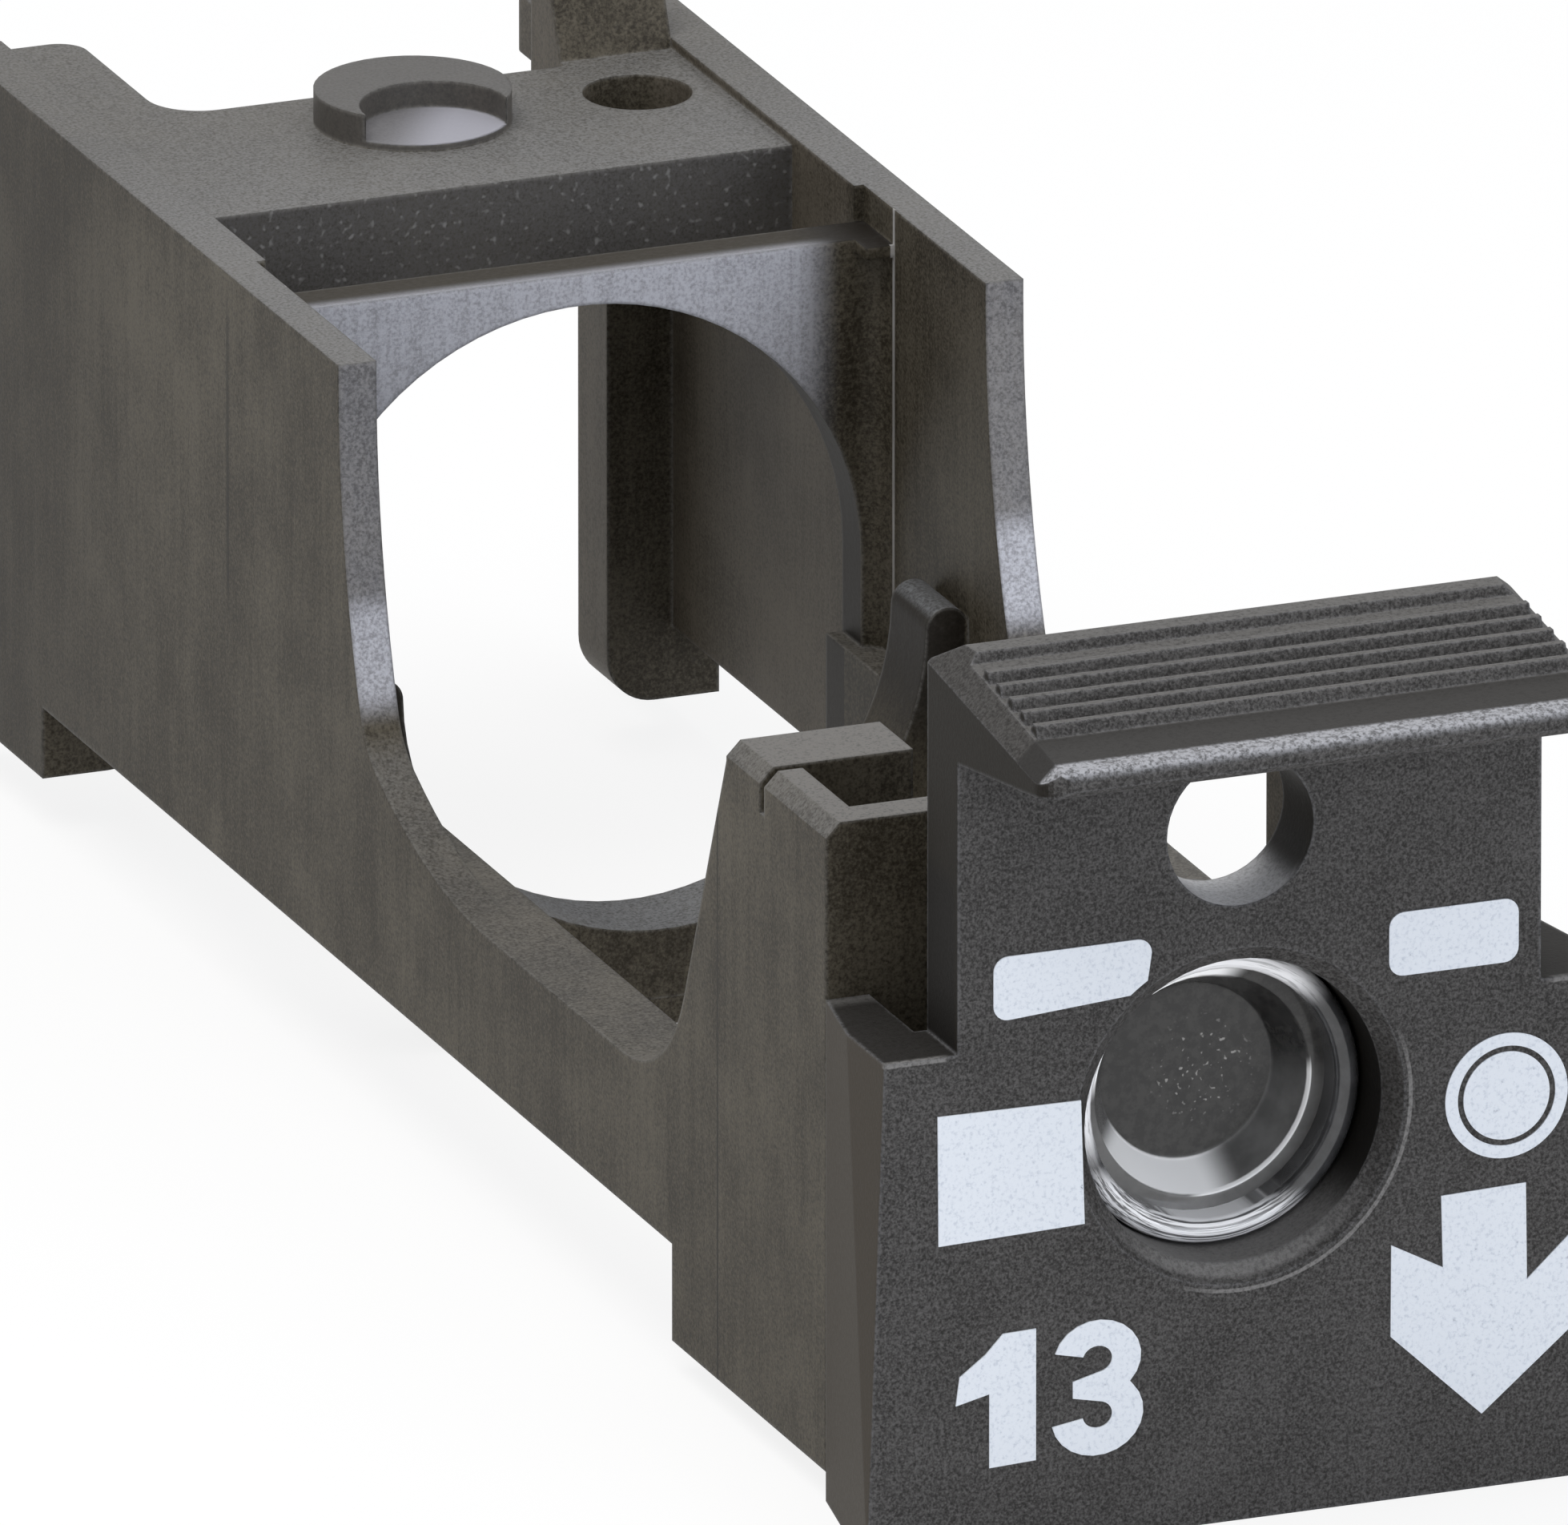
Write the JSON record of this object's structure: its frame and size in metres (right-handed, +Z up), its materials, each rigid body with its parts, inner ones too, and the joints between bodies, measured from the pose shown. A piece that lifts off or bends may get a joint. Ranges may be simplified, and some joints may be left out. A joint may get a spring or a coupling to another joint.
{
  "type": "fuse drawer",
  "caption": "Empty moulded drawer for a small cartridge fuse: side windows, saddle and arch for the fuse, guided rear feet, front plate with finger grip, probe hole and sight glass.",
  "frame": {"origin": "under the middle of the whole part, in the plane of the front plate's underside", "axes": "X across the drawer, to the right seen from the front; Y from the grip to the rear feet, the way the drawer is pushed in; Z up"},
  "size_m": [0.016, 0.0558, 0.0183],
  "materials": {
    "frame_plastic": "satin moulded thermoset, brown-black",
    "plate_plastic": "fine-grained moulded plastic, black",
    "sight_glass": "smoke-dark, glossy",
    "ring_plastic": "polished, black"
  },
  "bodies": {
    "root": {"drawer_frame": "frame_plastic", "front_plate": "plate_plastic", "sight_glass": "sight_glass", "glass_ring": "ring_plastic"}
  },
  "joints": []
}
